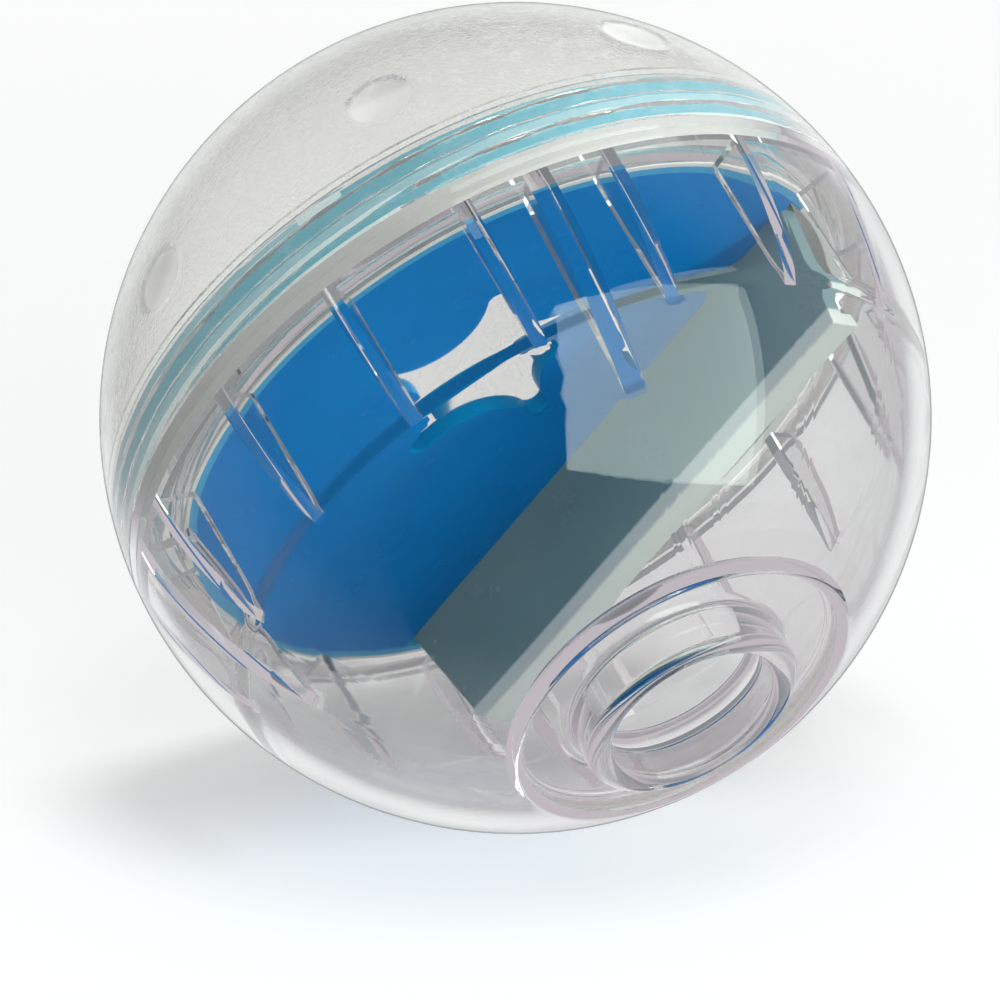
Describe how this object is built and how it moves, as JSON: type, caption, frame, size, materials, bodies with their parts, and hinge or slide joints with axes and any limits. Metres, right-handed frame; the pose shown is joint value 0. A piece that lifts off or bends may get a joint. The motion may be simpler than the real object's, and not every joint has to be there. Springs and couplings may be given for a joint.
{
  "type": "treat ball",
  "caption": "Screw-together ball for pet treats: a clear ribbed half with a spout, a frosted half, and a blue insert with a star hole and a divider.",
  "frame": {"origin": "centre of the ball, on the screw axis, level with the tops of the clear half's ribs", "axes": "+Z along the screw axis, out of the spout in the clear half's pole"},
  "size_m": [0.1016, 0.1016, 0.1003],
  "materials": {
    "clear_plastic": "clear polished polycarbonate",
    "frosted_plastic": "translucent polycarbonate with a fine crackle texture",
    "blue_plastic": "smooth moulded blue",
    "milky_plastic": "milky translucent, smooth"
  },
  "bodies": {
    "clear_half": {"clear_dome": "clear_plastic", "thread_ring": "clear_plastic"},
    "insert": {"star_disc": "blue_plastic", "divider_wall": "milky_plastic"},
    "frosted": {"frosted_half": "frosted_plastic"}
  },
  "joints": [
    {"name": "twist", "type": "hinge", "parent": "clear_half", "child": "insert", "pos_m": [0, 0, 0], "axis": [0, 0, -1], "range_deg": [0, 810]},
    {"name": "rise", "type": "slide", "parent": "insert", "child": "frosted", "axis": [0, 0, -1], "range_m": [0, 0.009]}
  ],
  "couplings": [
    {"joint": "rise", "follows": "twist", "m_per_rad": 0.00063662}
  ]
}
